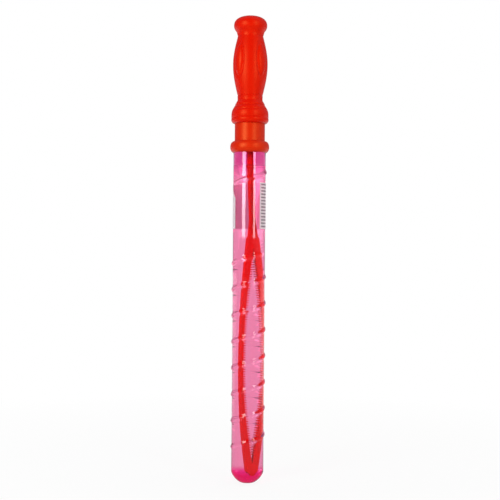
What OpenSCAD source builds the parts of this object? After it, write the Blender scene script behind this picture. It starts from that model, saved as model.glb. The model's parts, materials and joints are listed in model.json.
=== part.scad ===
// Bubble wand: a slim tube of bubble solution with a spiral ridge and a label, and a
// screw-on handle that carries a long toothed loop. Millimetres, +Z up, the origin in the
// middle of the foot, the front towards -Y.

/* [Tube] */
// Outer diameter of the tube
tube_d = 25.2; // [24.4:0.1:26.6]
// Wall of the tube and of its neck
tube_wall = 0.8; // [0.6:0.1:1]
// Height of the tube up to its shoulder
shoulder_h = 260; // [235:1:300]
// Outer diameter of the neck that carries the thread
neck_d = 20.6; // [19.6:0.1:21.6]
// Height of the neck above the shoulder
neck_h = 20; // [14:0.5:24]
// Diameter of the flat that the tube stands on
foot_d = 9.6; // [8:0.1:14]
// Height of the slanted edge round the foot
foot_edge_h = 8.6; // [5:0.1:11]

/* [Spiral ridge] */
// Width of the ridge that winds round the tube
ridge_w = 4.4; // [2.5:0.1:6]
// Height of the ridge above the tube
ridge_rise = 0.9; // [0.6:0.1:1.4]
// Distance from one turn to the next
ridge_pitch = 20.45; // [14:0.05:30]
// Height at which the ridge starts above the foot
ridge_start_h = 26; // [20:0.5:50]
// Turns of the short stretch above the label
top_ridge_turns = 0.58; // [0.3:0.01:0.7]

/* [Label] */
// Height of the label
label_h = 36; // [20:0.2:45]
// Width of the label, measured round the tube
label_w = 57.6; // [30:0.1:60]
// Thickness of the label
label_t = 0.25; // [0.15:0.05:0.4]
// Distance from the shoulder down to the label's upper edge
label_drop = 26; // [24:0.2:40]

/* [Cap] */
// Wall of the cap's skirt
cap_wall = 0.9; // [0.7:0.1:1.2]
// Thickness of the cap's top plate
cap_plate_t = 1.8; // [1.2:0.1:2.5]
// Diameter of the ring at the cap's lower end
ring_d = 30.5; // [29:0.1:33]
// Height of the ring
ring_h = 9.1; // [6:0.1:12]
// Height to which the spigot reaches into the handle's waist
spigot_reach = 1.7; // [0.8:0.1:3.5]
// Depth of the socket that holds the wand
socket_h = 12; // [8:0.5:14]
// Thickness of the sealing liner
liner_t = 1; // [0.6:0.1:1.6]

/* [Handle] */
// Wall of the hollow handle
grip_wall = 1.3; // [1:0.1:1.8]
// Diameter of the collar over the cap
collar_d = 29.2; // [27.5:0.1:32]
// Height of the collar with its cone
collar_h = 18.8; // [17:0.1:22]
// Diameter of the waist above the collar
waist_d = 19.5; // [18:0.1:21.5]
// Height of the waist
waist_h = 3.4; // [3:0.1:8]
// Largest diameter of the barrel
barrel_d = 27.1; // [25.6:0.1:29]
// Height of the barrel below its widest place
barrel_low_h = 24.2; // [21:0.1:28]
// Height of the barrel above its widest place
barrel_top_h = 22.2; // [20:0.1:28]
// Diameter of the narrow place under the knob
throat_d = 19.8; // [18.5:0.1:21.5]
// Diameter of the knob
knob_d = 26; // [24:0.1:29]
// Height of the knob's dome above its widest place
dome_h = 7.6; // [6:0.1:11]
// Height of the knob below its widest place
knob_under_h = 4.6; // [4:0.1:6]
// Height of the throat between the barrel and the knob
throat_h = 3.6; // [1.5:0.1:4.5]

/* [Grip lobes] */
// Number of raised lobes round the barrel
lobe_count = 4; // [3:1:5]
// Radius of a lobe at its middle
lobe_r = 7.05; // [6.7:0.05:7.4]
// How far a lobe stands out of the barrel at its middle
lobe_rise = 1; // [0.6:0.1:1.3]
// Length of a lobe
lobe_l = 34; // [28:0.5:38]
// How far the middle of the lobes lies above the barrel's widest place
lobe_lift = 1.3; // [0:0.1:2]

/* [Wand] */
// Length of the loop
loop_l = 186.5; // [120:0.5:192]
// Thickness of the loop from front to back
loop_depth = 3.3; // [2.4:0.1:4.4]
// Width of each side rail without its teeth
rail_w = 1.8; // [1.4:0.1:2.8]
// Height of the loop's solid ends
loop_end_h = 8; // [6:0.5:12]
// Depth of the teeth inside the loop
tooth_depth = 1.1; // [0.4:0.1:1.4]
// Distance from one tooth to the next
tooth_pitch = 1.85; // [1.5:0.05:4]
// Gap between the loop and the floor of the tube
loop_floor_gap = 5.8; // [3:0.1:10]
// Width of the ribbed stem
stem_w = 3.4; // [3:0.1:4.8]
// Thickness of the stem from front to back
stem_depth = 2.2; // [2:0.1:3.4]
// Width of each flange along the stem
flange_w = 1; // [0.8:0.1:1.3]
// Thickness of the web between the flanges
web_t = 1; // [0.8:0.1:1.4]
// Distance between the cross ribs on the stem
rib_pitch = 13.8; // [8:0.1:20]
// Diameter of the round shank in the cap's socket
shank_d = 5; // [4:0.1:6]
// Distance from the shoulder down to the end of the shank
shank_drop = 14; // [8:0.5:18]
// Turn of the loop about the tube's axis
wand_turn = 37; // [0:1:90]

/* [Fits] */
// Clearance between a plug and its socket, on each side
fit = 0.05; // [0.03:0.01:0.1]
// Clearance beside parts that turn or slide past each other
running_gap = 0.3; // [0.2:0.05:0.5]
// Room between the neck and the skirt, which the thread fills
thread_room = 0.6; // [0.5:0.05:0.8]
// Thickness of the glue under the label
glue_t = 0.02; // [0.01:0.01:0.05]

/* [Hidden] */
$fn = 96;

// Overrun of every cut
over = 1;

// Tube: the ridge winds from this angle, right-handed, and fades at both ends
ridge_start_angle = 150;
ridge_sides = 24;
ridge_root = 0.4;
ridge_fade_steps = 3;
ridge_fade_share = 0.4;
ridge_label_gap = 18;
top_ridge_drop = 1.2;
ridge_section_shares = [[-1, 0], [-0.75, 0.6], [-0.3, 1], [0.3, 1], [0.75, 0.6], [1, 0]];

// Label: its left edge, seen from above, and the corner that stays below the ridge
label_left_angle = 212;
label_corner_angle = 45;
label_corner_h = 12;

// Cap and handle: how far the ring reaches below the shoulder, and the collar below the plate
ring_drop = 2.5;
lip_overlap = 2.9;
lip_r = 3.2;
lip_angle = 75;
lip_ledge = 1;
socket_wall = 1.2;
spigot_wall = 1.3;

// Wand: the loop's widest place up its length, its blunt ends, the toothed stretch of each
// half, and one tooth's points as shares of the pitch and of the depth
loop_wide_share = 0.45;
loop_blunt_share = 0.42;
loop_steps = 36;
tooth_zone_share = 0.92;
tooth_room_share = 0.45;
tooth_shares = [[0, 0], [0.4, 0], [0.52, 1], [0.88, 1]];

// Stem: first rib above the loop, gusset and shank taper
first_rib_gap = 10.5;
rib_t = 1.4;
gusset_w = 6.4;
gusset_h = 12;
gusset_sink = 4;
taper_h = 2.5;

// Handle: depth of a lobe's ends under the barrel, and the knob's width at its underside
lobe_end_sink = 0.54;
knob_edge_share = 0.84;

// Roundness of the curved corners: 2 is an ellipse, less is flatter, more is squarer
foot_power = 1.45;
ring_power = 2.2;
dome_power = 2.4;
corner_steps = 10;
barrel_steps = 12;
lobe_steps = 14;

// Collar: points of its cone, and its fine lines, as shares of the overhang and of the height
collar_shares = [
    [0.97, 0.42], [0.92, 0.51], [0.8, 0.595], [0.6, 0.68], [0.42, 0.76],
    [0.34, 0.825], [0.16, 0.905], [0.04, 0.955], [0, 1]
];
line_shares = [[1, 0.234], [0.82, 0.58], [0.4, 0.777]];
line_w = 0.8;
line_depth = 0.3;

tube_r = tube_d / 2;
neck_r = neck_d / 2;
neck_bore_r = neck_r - tube_wall;
neck_foot_z = shoulder_h + tube_r - neck_r;
neck_top_z = shoulder_h + neck_h;
label_top_z = shoulder_h - label_drop;
label_angle = label_w / tube_r * 180 / PI;
ridge_end_h = label_top_z - label_h - ridge_label_gap;
top_ridge_start_h = label_top_z - top_ridge_drop;

seal_gap = running_gap / 2;
skirt_bore_r = neck_r + thread_room;
band_r = skirt_bore_r + cap_wall;
plate_z = neck_top_z + liner_t + 2 * seal_gap;
cap_top_z = plate_z + cap_plate_t;
ring_z = shoulder_h - ring_drop;
ring_bore_r = tube_r + running_gap;

collar_z = cap_top_z - lip_overlap;
waist_z = collar_z + collar_h;
barrel_z = waist_z + waist_h;
barrel_mid_z = barrel_z + barrel_low_h;
throat_z = barrel_mid_z + barrel_top_h;
knob_z = throat_z + throat_h;
knob_mid_z = knob_z + knob_under_h;
lobe_z = barrel_mid_z + lobe_lift;
lobe_axis_r = barrel_d / 2 + lobe_rise - lobe_r;
lobe_end_r = min(
    swell(waist_d / 2, barrel_d / 2, (lobe_z - lobe_l / 2 - barrel_z) / barrel_low_h),
    swell(throat_d / 2, barrel_d / 2, (throat_z - lobe_z - lobe_l / 2) / barrel_top_h)
) - lobe_axis_r - lobe_end_sink;
waist_bore_r = waist_d / 2 - grip_wall;
lobe_arc_r = (pow(lobe_l / 2, 2) + pow(lobe_r - lobe_end_r, 2)) / (2 * (lobe_r - lobe_end_r));
knob_under_angle = acos(knob_edge_share);

wand_reach = neck_bore_r - running_gap;
loop_half_w = sqrt(pow(wand_reach, 2) - pow(loop_depth / 2, 2)) - fit;
loop_z = tube_wall + loop_floor_gap;
loop_top_z = loop_z + loop_l;
loop_wide_h = loop_wide_share * loop_l;
loop_blunt_w = loop_blunt_share * loop_half_w;
gap_half_w = loop_half_w - rail_w;
tooth_zone_h = loop_wide_h - tooth_zone_share * (loop_wide_h - loop_end_h);
tooth_count = floor(tooth_zone_share * (loop_l - 2 * loop_end_h) / tooth_pitch);
shank_z = shoulder_h - shank_drop;
socket_z = plate_z + socket_h;
spigot_top_z = waist_z + spigot_reach;

// A quarter of a rounded corner, from the side [r1, 0] to the top [r0, h]
function corner(r0, r1, h, power) = [
    for (i = [0 : corner_steps])
        let (a = 90 * i / corner_steps)
        [r0 + (r1 - r0) * pow(max(cos(a), 0), 2 / power), h * pow(sin(a), 2 / power)]
];

function raised(points, z) = [for (p = points) [p[0], p[1] + z]];
function inverted(points) = [for (i = [len(points) - 1 : -1 : 0]) [points[i][0], -points[i][1]]];

// Half-width of a leaf that is widest at the height mid, between its ends at low and high
function leaf_x(z, low, mid, high, mid_w, end_w) =
    mid_w - (mid_w - end_w) * pow((z - mid) / (z < mid ? mid - low : high - mid), 2);

// Half of a barrel: a quarter wave from the end radius to the widest place
function swell(end_r, mid_r, share) = end_r + (mid_r - end_r) * sin(90 * share);

// One ring of the ridge's section, at a height along the helix, lowered at the ends
function ridge_ring(z, rise) =
    let (a = ridge_start_angle + (z - ridge_start_h) / ridge_pitch * 360)
    [for (s = ridge_section_shares)
        let (r = tube_r + (s[1] == 0 ? -ridge_root : s[1] * rise))
        [r * cos(a), r * sin(a), z + s[0] * ridge_w / 2]];

// A raised band that climbs round the tube from z0 to z1
module ridge(z0, z1) {
    steps = round((z1 - z0) / ridge_pitch * ridge_sides);
    n = len(ridge_section_shares);
    rings = [
        for (i = [0 : steps])
            let (fade = min(1, min(i, steps - i) / ridge_fade_steps))
            ridge_ring(z0 + (z1 - z0) * i / steps,
                ridge_rise * (ridge_fade_share + (1 - ridge_fade_share) * fade))
    ];
    sides = [
        for (i = [0 : steps - 1], j = [0 : n - 1])
            let (k = (j + 1) % n, a = i * n, b = (i + 1) * n)
            each [[a + k, b + j, a + j], [a + k, b + k, b + j]]
    ];
    first = [for (j = [n - 1 : -1 : 0]) j];
    last = [for (j = [0 : n - 1]) steps * n + j];
    polyhedron(points = [for (r = rings) each r], faces = concat(sides, [first, last]));
}

// Outline of the tube's outer face, from the foot to the rim
function tube_outline(inset) = concat(
    [[0, inset]],
    raised(inverted(corner(foot_d / 2, tube_r - inset, foot_edge_h - inset, foot_power)),
        foot_edge_h),
    [
        [tube_r - inset, shoulder_h],
        [neck_r - inset, neck_foot_z]
    ]
);

module tube() {
    color("hotpink") {
        difference() {
            union() {
                rotate_extrude()
                    polygon(concat(tube_outline(0), [[neck_r, neck_top_z], [0, neck_top_z]]));
                ridge(ridge_start_h, ridge_end_h);
                ridge(top_ridge_start_h, top_ridge_start_h + top_ridge_turns * ridge_pitch);
            }
            rotate_extrude()
                polygon(concat(tube_outline(tube_wall),
                    [[neck_bore_r, neck_top_z + over], [0, neck_top_z + over]]));
        }
    }
}

// Wedge over the label's upper left corner, seen along X
module label_corner() {
    left_y = tube_r * sin(label_left_angle);
    right_y = tube_r * sin(label_left_angle - label_corner_angle);
    rotate([90, 0, 90])
        linear_extrude(height = tube_d)
            polygon([
                [left_y, label_top_z - label_corner_h],
                [right_y, label_top_z],
                [right_y, label_top_z + over],
                [left_y - over, label_top_z + over],
                [left_y - over, label_top_z - label_corner_h]
            ]);
}

module label() {
    color("white")
        difference() {
            rotate([0, 0, label_left_angle - label_angle])
                rotate_extrude(angle = label_angle)
                    translate([tube_r + glue_t, label_top_z - label_h])
                        square([label_t, label_h]);
            translate([-tube_d - over, 0, 0])
                label_corner();
        }
}

module liner() {
    color("ivory")
        translate([0, 0, neck_top_z + seal_gap])
            difference() {
                cylinder(r = skirt_bore_r - running_gap, h = liner_t);
                translate([0, 0, -over])
                    cylinder(r = shank_d / 2 + running_gap, h = liner_t + 2 * over);
            }
}

// Screw cap: skirt, ring, top plate, spigot for the handle and socket for the wand
module cap() {
    spigot_r = waist_bore_r - fit;
    shank_bore_r = shank_d / 2 + fit;
    color("red")
        difference() {
            union() {
                translate([0, 0, ring_z])
                    cylinder(r = band_r, h = cap_top_z - ring_z);
                rotate_extrude()
                    polygon(concat(
                        [[0, ring_z]],
                        raised(inverted(corner(band_r, ring_d / 2, ring_h / 2, ring_power)),
                            ring_z + ring_h / 2),
                        raised(corner(band_r, ring_d / 2, ring_h / 2, ring_power),
                            ring_z + ring_h / 2),
                        [[0, ring_z + ring_h]]
                    ));
                translate([0, 0, plate_z])
                    cylinder(r = spigot_r, h = spigot_top_z - plate_z);
            }
            translate([0, 0, ring_z - over])
                cylinder(r = skirt_bore_r, h = plate_z - ring_z + over);
            translate([0, 0, ring_z - over])
                cylinder(r = ring_bore_r, h = ring_drop + running_gap + over);
            translate([0, 0, shoulder_h + running_gap])
                cylinder(r1 = ring_bore_r, r2 = skirt_bore_r, h = ring_bore_r - skirt_bore_r);
            difference() {
                translate([0, 0, cap_top_z])
                    cylinder(r = spigot_r - spigot_wall, h = spigot_top_z - cap_top_z + over);
                translate([0, 0, plate_z])
                    cylinder(r = shank_bore_r + socket_wall, h = socket_h + socket_wall);
            }
            translate([0, 0, plate_z - over])
                cylinder(r = shank_bore_r, h = socket_h + over);
        }
}

// Outline of the handle above the collar, from the waist to the top of the dome
function grip_outline(inset) = concat(
    [
        for (i = [0 : barrel_steps - 1])
            [swell(waist_d / 2, barrel_d / 2, i / barrel_steps) - inset,
                barrel_z + barrel_low_h * i / barrel_steps]
    ],
    [
        for (i = [barrel_steps : -1 : 0])
            [swell(throat_d / 2, barrel_d / 2, i / barrel_steps) - inset,
                throat_z - barrel_top_h * i / barrel_steps]
    ],
    [
        for (i = [corner_steps / 2 : -1 : 1])
            let (a = knob_under_angle * 2 * i / corner_steps)
            [knob_d / 2 * cos(a) - inset,
                knob_mid_z - knob_under_h * sin(a) / sin(knob_under_angle)]
    ],
    raised(corner(0, knob_d / 2 - inset, dome_h - inset, dome_power), knob_mid_z)
);

function collar_point(share) =
    [waist_d / 2 + share[0] * (collar_d - waist_d) / 2, collar_z + share[1] * collar_h];

// Outline of the collar: the rolled lip, the wall and the cone up to the waist
function collar_outline() = concat(
    [[0, collar_z]],
    [
        for (i = [0 : corner_steps])
            let (a = lip_angle * (i / corner_steps - 1))
            [collar_d / 2 - lip_r + lip_r * cos(a), collar_z + lip_r + lip_r * sin(a)]
    ],
    [for (s = collar_shares) collar_point(s)]
);

// A raised lobe: a slim spindle with its own upright axis, which stands out of the barrel
module lobe() {
    arc_angle = asin(lobe_l / 2 / lobe_arc_r);
    translate([lobe_axis_r, 0, lobe_z])
        rotate_extrude()
            polygon(concat(
                [[0, -lobe_l / 2]],
                [
                    for (i = [-lobe_steps / 2 : lobe_steps / 2])
                        let (a = arc_angle * 2 * i / lobe_steps)
                        [lobe_r - lobe_arc_r * (1 - cos(a)), lobe_arc_r * sin(a)]
                ],
                [[0, lobe_l / 2]]
            ));
}

module grip() {
    color("red")
        difference() {
            union() {
                rotate_extrude()
                    polygon(concat(collar_outline(), grip_outline(0)));
                for (i = [0 : lobe_count - 1])
                    rotate([0, 0, (i + 0.5) * 360 / lobe_count - 90])
                        lobe();
            }
            rotate_extrude()
                polygon(concat(
                    [
                        [0, collar_z - over],
                        [band_r + fit, collar_z - over],
                        [band_r + fit, cap_top_z],
                        [band_r - lip_ledge, cap_top_z],
                        [waist_bore_r, waist_z]
                    ],
                    grip_outline(grip_wall)
                ));
            for (p = concat([for (s = line_shares) collar_point(s)], [[waist_d / 2, barrel_z]]))
                rotate_extrude()
                    polygon([
                        [p[0] + over, p[1] - line_w / 2],
                        [p[0] - line_depth, p[1]],
                        [p[0] + over, p[1] + line_w / 2]
                    ]);
        }
}

// Half-width of the loop and of the gap in it, at a height above the loop's lower end
function loop_x(z) =
    leaf_x(z, loop_blunt_w, loop_wide_h, loop_l - loop_blunt_w, loop_half_w, loop_blunt_w);
function gap_x(z) = leaf_x(z, loop_end_h, loop_wide_h, loop_l - loop_end_h, gap_half_w, 0);

// Right side of the loop: two blunt ends with a long bow between them
function loop_side() = concat(
    raised(inverted(corner(0, loop_blunt_w, loop_blunt_w, 2)), loop_blunt_w),
    [
        for (i = [1 : loop_steps - 1])
            let (z = loop_blunt_w + (loop_l - 2 * loop_blunt_w) * i / loop_steps)
            [loop_x(z), z]
    ],
    raised(corner(0, loop_blunt_w, loop_blunt_w, 2), loop_l - loop_blunt_w)
);

// Right side of the gap, with its fine teeth, which grow shorter where the gap closes
function gap_side() = concat(
    [[0, loop_end_h]],
    [
        for (i = [0 : tooth_count - 1], t = tooth_shares)
            let (z = tooth_zone_h + (i + t[0]) * tooth_pitch)
            [gap_x(z) - t[1] * min(tooth_depth, tooth_room_share * gap_x(z)), z]
    ],
    [[0, loop_l - loop_end_h]]
);

function both_sides(side) =
    concat(side, [for (i = [len(side) - 2 : -1 : 1]) [-side[i][0], side[i][1]]]);

module loop_shape() {
    difference() {
        polygon(both_sides(loop_side()));
        polygon(both_sides(gap_side()));
    }
}

// Stem between the loop and the shank: two flanges, a web and cross ribs
module stem() {
    stem_l = shank_z - loop_top_z + gusset_sink;
    stem_z = loop_top_z - gusset_sink;
    for (side = [-1, 1])
        translate([side * (stem_w - flange_w) / 2, 0, stem_z + stem_l / 2])
            cube([flange_w, stem_depth, stem_l], center = true);
    translate([0, 0, stem_z + stem_l / 2])
        cube([stem_w - flange_w, web_t, stem_l], center = true);
    for (z = [loop_top_z + first_rib_gap : rib_pitch : shank_z - rib_t])
        translate([0, 0, z])
            cube([stem_w - flange_w, stem_depth, rib_t], center = true);
}

module wand() {
    color("red")
        rotate([0, 0, wand_turn]) {
            translate([0, 0, loop_z])
                rotate([90, 0, 0])
                    linear_extrude(height = loop_depth, center = true)
                        loop_shape();
            rotate([90, 0, 0])
                linear_extrude(height = stem_depth, center = true)
                    polygon([
                        [-gusset_w / 2, loop_top_z - gusset_sink],
                        [gusset_w / 2, loop_top_z - gusset_sink],
                        [stem_w / 2, loop_top_z + gusset_h],
                        [-stem_w / 2, loop_top_z + gusset_h]
                    ]);
            stem();
            translate([0, 0, shank_z - taper_h])
                cylinder(d1 = stem_depth, d2 = shank_d, h = taper_h);
            translate([0, 0, shank_z])
                cylinder(d = shank_d, h = socket_z - shank_z - fit);
        }
}

tube();
label();
liner();
cap();
grip();
wand();
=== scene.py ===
"""Looks of a bubble wand: a clear pink tube of solution, its label, and the red screw-on
handle with the toothed loop. Lengths of pieces are millimetres; meshes are metres."""

import json
import math

import bmesh
import bpy
from mathutils import Matrix, Vector

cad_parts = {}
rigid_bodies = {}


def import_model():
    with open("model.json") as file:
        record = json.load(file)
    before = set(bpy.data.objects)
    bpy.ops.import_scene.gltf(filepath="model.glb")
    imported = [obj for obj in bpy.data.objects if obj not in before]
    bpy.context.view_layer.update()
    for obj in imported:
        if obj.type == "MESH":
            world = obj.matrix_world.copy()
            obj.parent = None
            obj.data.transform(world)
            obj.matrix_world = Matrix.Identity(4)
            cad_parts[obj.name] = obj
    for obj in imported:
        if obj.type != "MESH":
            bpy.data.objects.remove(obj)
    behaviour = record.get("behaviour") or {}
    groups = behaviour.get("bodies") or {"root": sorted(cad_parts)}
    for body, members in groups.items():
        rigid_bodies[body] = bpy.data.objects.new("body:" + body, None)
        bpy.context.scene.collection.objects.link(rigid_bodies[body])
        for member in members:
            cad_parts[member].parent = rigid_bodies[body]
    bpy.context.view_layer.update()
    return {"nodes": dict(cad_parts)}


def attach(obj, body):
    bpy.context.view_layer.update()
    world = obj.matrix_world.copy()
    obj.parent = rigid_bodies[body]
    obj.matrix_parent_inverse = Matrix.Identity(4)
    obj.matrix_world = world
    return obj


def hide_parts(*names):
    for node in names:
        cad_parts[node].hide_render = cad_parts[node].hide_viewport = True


for left_over in list(bpy.data.objects):
    bpy.data.objects.remove(left_over)
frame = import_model()
MM = 0.001


# Tube: a bottle blown from pink see-through plastic, 0.8 mm thick, with a ridge that winds
# round it and a short thread on its neck. The mould leaves the foot thicker and darker, and
# above the solution, where less light comes through, a deeper pink is painted on as shade.
TUBE_R, BORE_R, NECK_R, NECK_BORE_R = 12.6, 11.8, 10.3, 9.5
SHOULDER_Z, BORE_TOP_Z, NECK_FOOT_Z, RIM_Z = 260.0, 259.7, 262.3, 280.0
SHOULDER_ROUND_H, SHOULDER_ROUND_W, NECK_FILLET, RIM_ROUND = 0.6, 0.25, 0.3, 0.2
FOOT_R, FOOT_H, FOOT_ROUND, WALL = 4.8, 8.6, 1.45, 0.8
FINE_WALL_LOW_Z, FINE_WALL_HIGH_Z, FINE_WALL_STEP = 9.0, 249.0, 0.6
RIDGE_RISE, RIDGE_W, RIDGE_PITCH, RIDGE_FULLNESS, RIDGE_FADE = 0.9, 4.4, 20.45, 1.4, 0.12
RIDGE_START_Z, RIDGE_END_Z, RIDGE_ANGLE = 26.0, 180.0, 150.0
TOP_RIDGE_Z, TOP_RIDGE_TURNS = 232.8, 0.58
THREAD_RISE, THREAD_W, THREAD_PITCH, THREAD_FULLNESS, THREAD_FADE = 0.26, 1.8, 4.0, 0.8, 0.15
THREAD_START_Z, THREAD_TURNS, THREAD_STEP = 266.0, 2.5, 0.3
FOOT_TONE_Z, WALL_TONE_Z, WET_TONE_Z, DRY_TONE_Z = 7, 11, 236, 250
FOOT_PINK, WALL_PINK = (0.9, 0.018, 0.33, 1), (0.98, 0.52, 0.69, 1)
DRY_SHADE_PINK, LAMP_PINK, BENDS_KEPT = (0.86, 0.24, 0.51, 1), (0.96, 0.66, 0.8, 1), 7


def corner(low_r, high_r, height, power, steps=12):
    """A rounded corner as outline points, from the side (high_r, 0) to the top (low_r, height)."""
    turns = [math.pi / 2 * i / steps for i in range(steps + 1)]
    return [
        (
            low_r + (high_r - low_r) * max(math.cos(a), 0) ** (2 / power),
            height * math.sin(a) ** (2 / power),
        )
        for a in turns
    ]


def foot_edge(low_r, high_r, height):
    """The rounded edge of the foot as outline points, from its flat up to the wall."""
    return [(r, FOOT_H - z) for r, z in reversed(corner(low_r, high_r, height, FOOT_ROUND))]


def stretch(radius, low, high, step):
    """Points up a straight wall, close enough together for a ridge or thread to rise from it."""
    count = max(1, round(abs(high - low) / step))
    return [(radius, low + (high - low) * i / count) for i in range(count + 1)]


def turned(outline, steps=128):
    """A bmesh of an outline of (radius, height) turned round the tube's axis."""
    bm = bmesh.new()
    points = [bm.verts.new((r * MM, 0, z * MM)) for r, z in outline]
    for a, b in zip(points, points[1:]):
        bm.edges.new((a, b))
    bmesh.ops.spin(
        bm, geom=bm.verts[:] + bm.edges[:], cent=(0, 0, 0), axis=(0, 0, 1),
        angle=2 * math.pi, steps=steps, use_merge=True,
    )
    bmesh.ops.remove_doubles(bm, verts=bm.verts, dist=1e-7)
    bmesh.ops.recalc_face_normals(bm, faces=bm.faces)
    return bm


def raise_helix(bm, wall_r, rise, width, pitch, low, high, angle, fullness, fade_turns):
    """Raises a helical bead from a round wall, or into a bore where rise is negative."""
    for v in bm.verts:
        x, y, z = v.co.x / MM, v.co.y / MM, v.co.z / MM
        r = math.hypot(x, y)
        if abs(r - wall_r) > 0.02 or not low - width < z < high + width:
            continue
        first = low + pitch * ((math.degrees(math.atan2(y, x)) - angle) % 360) / 360
        middle = first + pitch * round((z - first) / pitch)
        if middle < low - 1e-6 or middle > high + 1e-6:
            continue
        across = abs(z - middle) / (width / 2)
        if across < 1:
            fade = min(1, min(middle - low, high - middle) / (fade_turns * pitch) + 0.05)
            grown = (r + rise * fade * math.cos(across * math.pi / 2) ** fullness) / r
            v.co.x, v.co.y = v.co.x * grown, v.co.y * grown


def finished(name, bm, body, material, crease=40):
    """Makes the piece of a bmesh, smooth but for its sharp edges, and lets it ride on its body."""
    mesh = bpy.data.meshes.new(name)
    bm.to_mesh(mesh)
    bm.free()
    mesh.polygons.foreach_set("use_smooth", [True] * len(mesh.polygons))
    mesh.set_sharp_from_angle(angle=math.radians(crease))
    mesh.materials.append(material)
    piece = bpy.data.objects.new(name, mesh)
    bpy.context.scene.collection.objects.link(piece)
    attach(piece, body)
    return piece


def new_material(name):
    """An empty material, with its tree of nodes and its Principled shader."""
    material = bpy.data.materials.new(name)
    material.use_nodes = True
    return material, material.node_tree, material.node_tree.nodes["Principled BSDF"]


def feed(tree, node, inputs):
    """Gives each of these inputs of a node its value, or a link from an output."""
    for name, given in inputs.items():
        if isinstance(given, bpy.types.NodeSocket):
            tree.links.new(given, node.inputs[name])
        else:
            node.inputs[name].default_value = given


def add(tree, kind, inputs=None, **settings):
    """Adds a node of a kind to a tree, with its settings and inputs, and gives its outputs."""
    node = tree.nodes.new("ShaderNode" + kind)
    for name, setting in settings.items():
        setattr(node, name, setting)
    feed(tree, node, inputs or {})
    return node.outputs


def maths(tree, operation, *given):
    """The result of one operation on numbers or outputs."""
    return add(tree, "Math", dict(enumerate(given)), operation=operation)[0]


def ramp(tree, value, low, high, at_low=0, at_high=1):
    """Turns a value into at_low up to low, at_high from high on, and evenly between them."""
    ends = {"From Min": low, "From Max": high, "To Min": at_low, "To Max": at_high}
    return add(tree, "MapRange", {"Value": value, **ends})[0]


def blend(tree, share, first, second):
    """A colour between two: the first where the share is 0, the second where it is 1."""
    return add(tree, "Mix", {"Factor": share, "A": first, "B": second}, data_type="RGBA")["Result"]


def dented(tree, height, strength, distance):
    """The shading of a surface with small dents."""
    depth = {"Height": height, "Strength": strength, "Distance": distance}
    return add(tree, "Bump", depth)["Normal"]


def show_mix(tree, share, first, second, last="Material Output"):
    """Shows a mix of two shaders: the first where the share is 0, the second where it is 1."""
    both = add(tree, "MixShader", {0: share, 1: first, 2: second})[0]
    tree.links.new(both, tree.nodes[last].inputs["Surface"])


def let_lamps_through(tree, shader, tint):
    """Lamps reach what is behind a clear piece, tinted by its plastic, and light that was bent
    too often to come out again goes straight on."""
    path = add(tree, "LightPath")
    lost = maths(tree, "GREATER_THAN", path["Ray Depth"], BENDS_KEPT)
    either = maths(tree, "MAXIMUM", path["Is Shadow Ray"], lost)
    clear = add(tree, "BsdfTransparent", {"Color": tint})[0]
    show_mix(tree, either, shader.outputs[0], clear)


pink_plastic, tree, shader = new_material("pink_plastic")
where = add(tree, "TexCoord")["Object"]
height = add(tree, "SeparateXYZ", {0: where})["Z"]
over_foot = ramp(tree, height, FOOT_TONE_Z * MM, WALL_TONE_Z * MM)
# Above the solution the pink is painted deeper, as shade where less light comes through
dry_shade_share = ramp(tree, height, WET_TONE_Z * MM, DRY_TONE_Z * MM)
wet_tone = blend(tree, over_foot, FOOT_PINK, WALL_PINK)
flow = add(tree, "TexNoise", {"Vector": where, "Scale": 90, "Detail": 2})["Fac"]
feed(tree, shader, {
    "Base Color": blend(tree, dry_shade_share, wet_tone, DRY_SHADE_PINK),
    "Normal": dented(tree, flow, 0.06, 0.0004),
    "Roughness": 0.04,
    "IOR": 1.5,
    "Transmission Weight": 1,
})
let_lamps_through(tree, shader, LAMP_PINK)

tube_outline = (
    [(0, 0)]
    + foot_edge(FOOT_R, TUBE_R, FOOT_H)
    + stretch(TUBE_R, FINE_WALL_LOW_Z, FINE_WALL_HIGH_Z, FINE_WALL_STEP)
    + [(TUBE_R, SHOULDER_Z - SHOULDER_ROUND_H), (TUBE_R - SHOULDER_ROUND_W, SHOULDER_Z)]
    + [(NECK_R + NECK_FILLET, NECK_FOOT_Z - NECK_FILLET)]
    + stretch(NECK_R, NECK_FOOT_Z, RIM_Z - RIM_ROUND, THREAD_STEP)
    + [(NECK_R - RIM_ROUND, RIM_Z), (NECK_BORE_R + RIM_ROUND, RIM_Z)]
    + [(NECK_BORE_R, RIM_Z - RIM_ROUND), (NECK_BORE_R, NECK_FOOT_Z)]
    + [(BORE_R, BORE_TOP_Z), (BORE_R, FOOT_H)]
    + foot_edge(FOOT_R, BORE_R, FOOT_H - WALL)[::-1][1:]
    + [(0, WALL)]
)
bm = turned(tube_outline)
top_ridge_end = TOP_RIDGE_Z + TOP_RIDGE_TURNS * RIDGE_PITCH
top_ridge_angle = (TOP_RIDGE_Z - RIDGE_START_Z) / RIDGE_PITCH * 360 + RIDGE_ANGLE
for low, high, angle in (
    (RIDGE_START_Z, RIDGE_END_Z, RIDGE_ANGLE),
    (TOP_RIDGE_Z, top_ridge_end, top_ridge_angle),
):
    raise_helix(
        bm, TUBE_R, RIDGE_RISE, RIDGE_W, RIDGE_PITCH, low, high, angle,
        RIDGE_FULLNESS, RIDGE_FADE,
    )
raise_helix(
    bm, NECK_R, THREAD_RISE, THREAD_W, THREAD_PITCH, THREAD_START_Z,
    THREAD_START_Z + THREAD_TURNS * THREAD_PITCH, 0, THREAD_FULLNESS, THREAD_FADE,
)
bottle = finished("blown_tube", bm, "bottle", pink_plastic)
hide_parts("tube")


# Bubble solution: it fills the tube to 10 mm under the ring. Its skin lies just inside
# the plastic, so that light bends straight from the wall into it.
LEVEL_Z, WETTING, MENISCUS_W, MENISCUS_H = 247.4, 0.2, 0.4, 0.15
SOAPY_PINK, LAMP_SOAPY = (0.99, 0.93, 0.96, 1), (0.99, 0.95, 0.97, 1)

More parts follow.
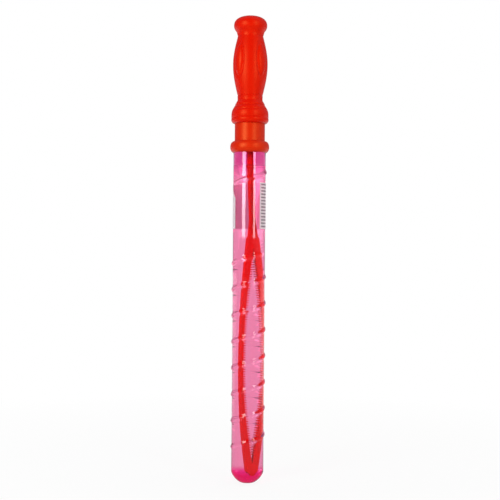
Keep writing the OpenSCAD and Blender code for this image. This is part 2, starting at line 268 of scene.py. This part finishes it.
soap_water, tree, shader = new_material("soap_water")
feed(tree, shader, {
    "Base Color": SOAPY_PINK,
    "Roughness": 0,
    "IOR": 1.33,
    "Transmission Weight": 1,
})
let_lamps_through(tree, shader, LAMP_SOAPY)

wet_r = BORE_R + WETTING
bm = turned(
    [(0, WALL - WETTING)]
    + foot_edge(FOOT_R + WETTING, wet_r, FOOT_H - WALL + WETTING)
    + [(wet_r, 60), (wet_r, 120), (wet_r, 180), (wet_r, LEVEL_Z + MENISCUS_H)]
    + [(BORE_R - MENISCUS_W, LEVEL_Z), (0, LEVEL_Z)]
)
finished("bubble_solution", bm, "bottle", soap_water)


# Label: a film wrapped round the back of the tube and stuck on over it, white outside and
# clear inside. Its print is left out, and an even column of plain strokes stands in the
# same strip.
STROKE_PITCH, STROKE_W, STRIP_Y, STRIP_HALF_W = 2.5, 1.1, -5.1, 3.85
FILM_WHITE, INK_GREY = (0.97, 0.96, 0.97, 1), (0.24, 0.22, 0.25, 1)
CLEAR_FILM, WHITE = (1, 0.99, 1, 1), (1, 1, 1, 1)

label_film, tree, shader = new_material("label_film")
place = add(tree, "SeparateXYZ", {0: add(tree, "TexCoord")["Object"]})
rows = maths(tree, "PINGPONG", place["Z"], STROKE_PITCH / 2 * MM)
strokes = maths(tree, "LESS_THAN", rows, STROKE_W / 2 * MM)
strip = maths(tree, "COMPARE", place["Y"], STRIP_Y * MM, STRIP_HALF_W * MM)
right_side = maths(tree, "GREATER_THAN", place["X"], 0)
inked = maths(tree, "MULTIPLY", maths(tree, "MULTIPLY", strokes, strip), right_side)
feed(tree, shader, {
    "Base Color": blend(tree, inked, FILM_WHITE, INK_GREY),
    "Roughness": 0.45,
    "IOR": 1.45,
    "Transmission Weight": 0.5,
})

clear_back, tree, shader = new_material("clear_back")
feed(tree, shader, {
    "Base Color": CLEAR_FILM,
    "Roughness": 0.4,
    "IOR": 1.45,
    "Transmission Weight": 1,
})
let_lamps_through(tree, shader, WHITE)

bm = bmesh.new()
bm.from_mesh(frame["nodes"]["label"].data)
bmesh.ops.remove_doubles(bm, verts=bm.verts, dist=2e-6)
label = finished("wrapped_label", bm, "bottle", label_film)
label.data.materials.append(clear_back)
for face in label.data.polygons:
    out = Vector((face.center.x, face.center.y, 0)).normalized()
    face.material_index = int(face.normal.dot(out) < -0.5)
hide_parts("label")


# Wand: one moulding of red plastic. Two rails meet in a long loop whose fine teeth hold
# the film of solution, and a ribbed stem joins it to the shank in the cap. In the tube the
# thin rails hang bowed to one side and a little twisted.
LOOP_TURN, GAP_HALF_W, GAP_LOW_Z, GAP_WIDE_Z, GAP_TOP_Z = 37.0, 7.2, 14.6, 90.5, 185.1
RAIL_GROWN, TEETH_GROWN, GAP_END_W, GAP_CLOSED_W, EDGE_SLACK = 0.35, 0.45, 3.0, 0.3, 0.08
BOW, TWIST, BOW_TOP_Z, BOW_LOW_Z = 2.4, 11.0, 281.0, 170.0
EDGE_ROUND, WAND_RED, WAND_SHINE = 0.14, (0.66, 0.001, 0.0005, 1), (1, 0.5, 0.25, 1)

red_wand, tree, shader = new_material("red_wand")
where = add(tree, "TexCoord")["Object"]
grain = add(tree, "TexNoise", {"Vector": where, "Scale": 400})["Fac"]
feed(tree, shader, {
    "Base Color": WAND_RED,
    "Roughness": ramp(tree, grain, 0, 1, 0.24, 0.36),
    "Specular IOR Level": 0.05,
    "Specular Tint": WAND_SHINE,
})


def grow_teeth(place):
    """Thickens the rails a little towards the gap and lengthens their teeth, except at the
    ends, where the gap closes."""
    turn = math.radians(LOOP_TURN)
    across = Vector((math.cos(turn), math.sin(turn), 0))
    off, z = place.dot(across) / MM, place.z / MM
    end = GAP_TOP_Z if z > GAP_WIDE_Z else GAP_LOW_Z
    half = GAP_HALF_W * (1 - ((z - GAP_WIDE_Z) / (end - GAP_WIDE_Z)) ** 2)
    if half < GAP_CLOSED_W or abs(off) > half + EDGE_SLACK:
        return place
    grown = (RAIL_GROWN + TEETH_GROWN * (half - abs(off))) * min(1, half / GAP_END_W)
    return place - across * math.copysign(grown * MM, off)


bm = bmesh.new()
bm.from_mesh(frame["nodes"]["wand"].data)
bmesh.ops.remove_doubles(bm, verts=bm.verts, dist=2e-6)
bmesh.ops.dissolve_limit(
    bm, angle_limit=math.radians(1), use_dissolve_boundaries=False, verts=bm.verts, edges=bm.edges,
)
for v in bm.verts:
    share = min(1, max(0, (BOW_TOP_Z - v.co.z / MM) / (BOW_TOP_Z - BOW_LOW_Z)))
    ease = share * share * (3 - 2 * share)
    v.co = Matrix.Rotation(-math.radians(TWIST) * ease, 3, "Z") @ grow_teeth(v.co)
    v.co.x += BOW * MM * ease
wand = finished("toothed_wand", bm, "handle", red_wand, crease=30)
rounding = wand.modifiers.new("rounded_edges", "BEVEL")
rounding.width = EDGE_ROUND * MM
rounding.segments = 2
rounding.limit_method = "ANGLE"
rounding.angle_limit = math.radians(40)
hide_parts("wand")


# Liner: a washer cut from pale foam sheet and pressed into the cap, where it seals the
# tube's rim. It keeps the solid's mesh.
FOAM_WHITE = (0.85, 0.83, 0.77, 1)

foam, tree, shader = new_material("foam_sheet")
where = add(tree, "TexCoord")["Object"]
cells = add(tree, "TexVoronoi", {"Vector": where, "Scale": 2600})["Distance"]
feed(tree, shader, {
    "Base Color": FOAM_WHITE,
    "Normal": dented(tree, cells, 0.35, 0.0002),
    "Roughness": 0.8,
})
liner = frame["nodes"]["liner"]
liner.data.materials.clear()
liner.data.materials.append(foam)


# Cap: a red screw cap with a thick ring at its mouth and a duller band above it. A spigot
# on its top plate plugs into the handle, and a socket in the spigot holds the wand.
BAND_R, SKIRT_R, SKIRT_LOW_Z, PLATE_FILLET, MOULD_ROUND = 11.8, 10.9, 262.3, 0.2, 0.4
RING_R, RING_H, RING_Z, RING_ROUND, MOUTH_EDGE = 15.25, 9.1, 257.5, 2.2, 0.05
RING_BORE_R, RING_BORE_Z, PLATE_Z, CAP_TOP_Z, SPIGOT_TOP_Z = 12.9, 260.3, 281.3, 283.1, 300.7
SPIGOT_R, SPIGOT_BORE_R, SHANK_BORE_R = 8.4, 7.1, 2.55
SOCKET_R, SOCKET_Z, SOCKET_ROOF = 3.75, 294.5, 1.2
RED_SHINE = (1, 0.45, 0.12, 1)


def red_plastic(name, gloss, shine, streak, deep, bright):
    """Moulded red plastic: a fine grain under the gloss, and upright flow streaks in its colour."""
    material, tree, shader = new_material(name)
    where = add(tree, "TexCoord")["Object"]
    long_way = add(tree, "Mapping", {"Vector": where, "Scale": (1, 1, streak)})["Vector"]
    flow = add(tree, "TexNoise", {"Vector": long_way, "Scale": 220, "Detail": 3})["Fac"]
    grain = add(tree, "TexNoise", {"Vector": where, "Scale": 900})["Fac"]
    feed(tree, shader, {
        "Base Color": blend(tree, flow, deep, bright),
        "Normal": dented(tree, grain, 0.05, 0.0002),
        "Roughness": ramp(tree, grain, 0, 1, *gloss),
        "Specular IOR Level": shine,
        "Specular Tint": RED_SHINE,
    })
    return material


def eased(outline, radius):
    """Rounds every sharp corner of an outline, as a mould does."""
    soft = [outline[0]]
    for before, here, after in zip(outline, outline[1:], outline[2:]):
        b, h, a = Vector(before), Vector(here), Vector(after)
        if min((b - h).length, (a - h).length) < 1e-6 or abs((b - h).angle(h - a)) < 0.35:
            soft.append(here)
            continue
        near = h + (b - h).normalized() * min(radius, (b - h).length / 2)
        far = h + (a - h).normalized() * min(radius, (a - h).length / 2)
        soft += [tuple(near), tuple(near * 0.25 + h * 0.5 + far * 0.25), tuple(far)]
    return soft + [outline[-1]]


red_cap = red_plastic(
    "red_cap", gloss=(0.34, 0.44), shine=0.6, streak=0.08,
    deep=(0.57, 0.008, 0, 1), bright=(0.64, 0.016, 0.001, 1),
)
ring_edge = corner(BAND_R, RING_R, RING_H / 2, RING_ROUND)
ring_low = [(r, RING_Z + RING_H / 2 - z) for r, z in reversed(ring_edge)]
ring_top = [(r, RING_Z + RING_H / 2 + z) for r, z in ring_edge]
mouth = (RING_BORE_R, RING_Z + MOUTH_EDGE)
cap_outline = eased(
    [mouth]
    + ring_low[2:]
    + ring_top[1:-1]
    + [(BAND_R, RING_Z + RING_H), (BAND_R, CAP_TOP_Z), (SPIGOT_R, CAP_TOP_Z)]
    + [(SPIGOT_R, SPIGOT_TOP_Z), (SPIGOT_BORE_R, SPIGOT_TOP_Z), (SPIGOT_BORE_R, CAP_TOP_Z)]
    + [(SOCKET_R, CAP_TOP_Z), (SOCKET_R, SOCKET_Z), (0, SOCKET_Z)],
    MOULD_ROUND,
)
cap_inside = (
    [(0, SOCKET_Z - SOCKET_ROOF), (SHANK_BORE_R, SOCKET_Z - SOCKET_ROOF)]
    + [(SHANK_BORE_R, PLATE_Z), (SKIRT_R, PLATE_Z)]
    + stretch(SKIRT_R, PLATE_Z - PLATE_FILLET, SKIRT_LOW_Z, THREAD_STEP)
    + [(RING_BORE_R, RING_BORE_Z), mouth]
)
bm = turned(cap_outline + cap_inside)
raise_helix(
    bm, SKIRT_R, -THREAD_RISE, THREAD_W, THREAD_PITCH, THREAD_START_Z - THREAD_PITCH / 2,
    THREAD_START_Z + (THREAD_TURNS - 0.5) * THREAD_PITCH, 0, THREAD_FULLNESS, THREAD_FADE,
)
cap = finished("screw_cap", bm, "handle", red_cap)
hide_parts("cap")


# Handle: a hollow red moulding pushed over the cap's spigot. Its barrel carries four
# slim lobes that meet it in a crease, and fine mould lines run round the collar.
GRIP_WALL, COLLAR_Z, COLLAR_R, WAIST_Z, WAIST_R = 1.3, 280.2, 14.6, 299.0, 9.75
LIP_R, LIP_ANGLE, LIP_STEPS = 3.2, 75, 10
BARREL_Z, BARREL_MID_Z, THROAT_Z, BARREL_R, THROAT_R = 302.4, 326.6, 348.8, 13.55, 9.9
BARREL_STEP, BARREL_POINTS = 0.55, 83
KNOB_Z, KNOB_MID_Z, KNOB_R, DOME_H, KNOB_EDGE, KNOB_STEPS = 352.4, 357.0, 13.0, 7.6, 0.84, 6
DOME_ROUND, DOME_STEPS, DOME_HOLLOW_STEPS = 2.4, 16, 8
LOBE_R, LOBE_END_R, LOBE_AXIS_R, LOBE_L, LOBE_Z = 7.05, 2.85, 7.5, 34.0, 327.9
COLLAR_H = WAIST_Z - COLLAR_Z
# Points up the collar: share of the way out from the waist, and share of its height
COLLAR_CONE = (
    (0.97, 0.42), (0.92, 0.51), (0.8, 0.595), (0.6, 0.68), (0.42, 0.76), (0.34, 0.825),
    (0.16, 0.905), (0.04, 0.955), (0, 1),
)
CREASE_W, CREASE_DEPTH = 0.5, 0.42
MOULD_LINES, LINE_W, LINE_DEPTH = (284.6, 291.1, 294.8, 302.4), 0.8, 0.3
BAND_FIT, SEAT_FIT, SEAT_W, MOUTH_Z = 0.05, 0.1, 1, 280.4
HOLLOW_LOW_Z, HOLLOW_HIGH_Z, HOLLOW_STEP, KNOB_HOLLOW_R, KNOB_HOLLOW_Z = 306, 348, 4, 10.4, 354


def barrel_r(z):
    """Radius of the barrel at a height: a quarter wave on each side of its middle."""
    if z <= BARREL_MID_Z:
        share, end = (z - BARREL_Z) / (BARREL_MID_Z - BARREL_Z), WAIST_R
    else:
        share, end = (THROAT_Z - z) / (THROAT_Z - BARREL_MID_Z), THROAT_R
    return end + (BARREL_R - end) * math.sin(math.pi / 2 * max(0, share))


def radius_at(outline, height):
    """Radius of a rising outline at a height."""
    for (r0, z0), (r1, z1) in zip(outline, outline[1:]):
        if z0 <= height <= z1:
            return r0 + (r1 - r0) * (height - z0) / (z1 - z0)
    return 0


def lobe_reach(z, angle):
    """How far out the nearest lobe reaches at a height and angle, or 0 where there is none."""
    arc = ((LOBE_L / 2) ** 2 + (LOBE_R - LOBE_END_R) ** 2) / (2 * (LOBE_R - LOBE_END_R))
    r = LOBE_R - arc + math.sqrt(max(0, arc**2 - (z - LOBE_Z) ** 2))
    off = angle % (math.pi / 2) - math.pi / 4
    across = LOBE_AXIS_R * math.sin(off)
    if abs(z - LOBE_Z) > LOBE_L / 2 or abs(across) >= r:
        return 0
    return LOBE_AXIS_R * math.cos(off) + math.sqrt(r * r - across * across)


red_grip = red_plastic(
    "red_grip", gloss=(0.32, 0.42), shine=0.32, streak=0.12,
    deep=(0.59, 0.002, 0, 1), bright=(0.67, 0.006, 0, 1),
)
lip_turns = [math.radians(LIP_ANGLE * i / LIP_STEPS - LIP_ANGLE) for i in range(LIP_STEPS + 1)]
lip = [
    (COLLAR_R - LIP_R + LIP_R * math.cos(a), COLLAR_Z + LIP_R + LIP_R * math.sin(a))
    for a in lip_turns
]
cone = [(WAIST_R + s * (COLLAR_R - WAIST_R), COLLAR_Z + h * COLLAR_H) for s, h in COLLAR_CONE]
heights = [BARREL_Z + BARREL_STEP * (i + 1) for i in range(BARREL_POINTS)]
barrel = [(barrel_r(z), z) for z in heights]
knob_turn = math.acos(KNOB_EDGE)
knob_under = [
    (KNOB_R * math.cos(a), KNOB_MID_Z - (KNOB_MID_Z - KNOB_Z) * math.sin(a) / math.sin(knob_turn))
    for a in [knob_turn * i / KNOB_STEPS for i in range(KNOB_STEPS, 0, -1)]
]
dome = [(r, KNOB_MID_Z + z) for r, z in corner(0, KNOB_R, DOME_H, DOME_ROUND, DOME_STEPS)]
outside = lip + cone + barrel + [(THROAT_R, THROAT_Z)] + knob_under + dome
for z in MOULD_LINES:
    low, high = z - LINE_W / 2, z + LINE_W / 2
    under, over = [p for p in outside if p[1] < low], [p for p in outside if p[1] > high]
    groove = [
        (radius_at(outside, low), low),
        (radius_at(outside, z) - LINE_DEPTH, z),
        (radius_at(outside, high), high),
    ]
    outside = under + groove + over
dome_hollow = corner(
    0, KNOB_R - GRIP_WALL, DOME_H - GRIP_WALL, DOME_ROUND, DOME_HOLLOW_STEPS
)
inside = (
    [(BAND_R + BAND_FIT, MOUTH_Z), (BAND_R + BAND_FIT, CAP_TOP_Z + SEAT_FIT)]
    + [(BAND_R - SEAT_W, CAP_TOP_Z + SEAT_FIT)]
    + [(WAIST_R - GRIP_WALL, WAIST_Z), (WAIST_R - GRIP_WALL, BARREL_Z)]
    + [(barrel_r(z) - GRIP_WALL, z) for z in range(HOLLOW_LOW_Z, HOLLOW_HIGH_Z, HOLLOW_STEP)]
    + [(THROAT_R - GRIP_WALL, THROAT_Z), (KNOB_HOLLOW_R, KNOB_HOLLOW_Z)]
    + [(r, KNOB_MID_Z + z) for r, z in dome_hollow]
)
bm = turned(inside[::-1] + outside, steps=192)
for v in bm.verts:
    x, y, z = v.co.x / MM, v.co.y / MM, v.co.z / MM
    r = math.hypot(x, y)
    if abs(z - LOBE_Z) < LOBE_L / 2 and r > barrel_r(z) - 0.1:
        reach = lobe_reach(z, math.atan2(y, x))
        crease = max(0, 1 - abs(reach - r) / CREASE_W)
        grown = (max(r, reach) - CREASE_DEPTH * crease) / r
        v.co.x, v.co.y = v.co.x * grown, v.co.y * grown
grip = finished("lobed_handle", bm, "handle", red_grip, crease=50)
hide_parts("grip")


# Stage: a pale floor and a white room, lit by a softbox on each side of the camera. Both
# look white directly and straight through the clear plastic, and darker in light that was
# mirrored, which gives the tube its edges. Lengths here are metres, but for the sensor's.
CAMERA_FAR, CAMERA_Z, CAMERA_X, CAMERA_ROLL = 0.8, 0.1816, 0.00086, 0.45
SENSOR_W, PHOTO_PIXELS, PIXEL_SIZE, FLOOR_HALF_W = 36, 500, 0.0007835, 6
LAMP_FAR, LAMP_LOW_Z, LAMP_H = 0.8, 0.2, 0.55
FLOOR_GREY, BACK_OF_ROOM = (0.75, 0.75, 0.75, 1), (0.55, 0.84, 0)

floor_paint, tree, shader = new_material("floor_paint")
feed(tree, shader, {"Base Color": FLOOR_GREY, "Roughness": 0.9})
path = add(tree, "LightPath")
where = add(tree, "TexCoord")["Object"]
# What is seen of the floor glows white, a little less near the object so that its shadow shows,
# which also paints the floor there a little darker as shade
off_centre = add(tree, "VectorMath", {0: where}, operation="LENGTH")["Value"]
glow_share = ramp(tree, off_centre, 0.05, 0.5, 0.88, 1)
seen = maths(tree, "MAXIMUM", path["Is Camera Ray"], path["Is Glossy Ray"])
seen_bent = maths(tree, "MAXIMUM", seen, path["Is Transmission Ray"])
# In mirrored light the floor on the camera's side glows less
in_front = ramp(tree, add(tree, "SeparateXYZ", {0: where})["Y"], 0, 0.3, 0.75, 0)
straight = maths(tree, "COMPARE", path["Ray Depth"], path["Transmission Depth"], 0.5)
mirrored = maths(tree, "SUBTRACT", 1, straight)
glow_left = maths(tree, "SUBTRACT", 1, maths(tree, "MULTIPLY", mirrored, in_front))
glow = add(tree, "Emission", {"Strength": glow_left})[0]
show_mix(tree, maths(tree, "MULTIPLY", seen_bent, glow_share), shader.outputs[0], glow)

bm = bmesh.new()
bmesh.ops.create_grid(bm, x_segments=1, y_segments=1, size=FLOOR_HALF_W)
floor_mesh = bpy.data.meshes.new("floor")
bm.to_mesh(floor_mesh)
bm.free()
floor_mesh.materials.append(floor_paint)
floor = bpy.data.objects.new("floor", floor_mesh)
bpy.context.scene.collection.objects.link(floor)

room = bpy.data.worlds.new("white_room")
room.use_nodes = True
tree = room.node_tree
path = add(tree, "LightPath")
way = add(tree, "TexCoord")["Generated"]
# The room is bright behind the object and dark behind the camera, and darker in mirrors
behind = add(tree, "VectorMath", {0: way, 1: BACK_OF_ROOM}, operation="DOT_PRODUCT")["Value"]
backdrop = ramp(tree, behind, -0.6, 0.2, 0.12, 1)
off_gloss = maths(tree, "MULTIPLY", path["Is Glossy Ray"], path["Is Reflection Ray"])
level = maths(tree, "MULTIPLY", backdrop, ramp(tree, off_gloss, 0, 1, 1, 0.22))
least = ramp(tree, path["Transmission Depth"], 0, 1, 0, 0.4)
fill = tree.nodes["Background"]
feed(tree, fill, {"Color": WHITE, "Strength": maths(tree, "MAXIMUM", level, least)})
# Light that was only bent sees the room white; here Ray Depth is one more than on a surface
turned_back = maths(tree, "SUBTRACT", path["Ray Depth"], path["Transmission Depth"])
straight = maths(tree, "LESS_THAN", turned_back, 1.5)
seen = maths(tree, "MAXIMUM", path["Is Camera Ray"], straight)
white = add(tree, "Background", {"Color": WHITE})[0]
show_mix(tree, seen, fill.outputs[0], white, last="World Output")
bpy.context.scene.world = room


def tall_lamp(name, angle, width, power):
    """An upright softbox that stands beside the camera and faces the object."""
    light = bpy.data.lights.new(name, "AREA")
    light.shape = "RECTANGLE"
    light.size, light.size_y, light.energy = width, LAMP_H, power
    lamp = bpy.data.objects.new(name, light)
    turn, middle_z = math.radians(angle), LAMP_LOW_Z + LAMP_H / 2
    place = Vector((math.sin(turn) * LAMP_FAR, -math.cos(turn) * LAMP_FAR, middle_z))
    aim = (Vector((0, 0, place.z)) - place).to_track_quat("-Z", "Y")
    lamp.matrix_world = Matrix.LocRotScale(place, aim, None)
    bpy.context.scene.collection.objects.link(lamp)


tall_lamp("left_lamp", -40, 0.34, 5.2)
tall_lamp("right_lamp", 36, 0.2, 2.3)

camera = bpy.data.objects.new("camera", bpy.data.cameras.new("camera"))
camera.data.sensor_width = SENSOR_W
camera.data.lens = SENSOR_W * CAMERA_FAR / (PHOTO_PIXELS * PIXEL_SIZE)
level_view = Matrix.Rotation(math.radians(90), 4, "X")
roll = Matrix.Rotation(math.radians(CAMERA_ROLL), 4, "Z")
stand = Matrix.Translation((CAMERA_X, -CAMERA_FAR, CAMERA_Z))
camera.matrix_world = stand @ level_view @ roll
bpy.context.scene.collection.objects.link(camera)
bpy.context.scene.camera = camera
bpy.context.scene.view_settings.view_transform = "Standard"
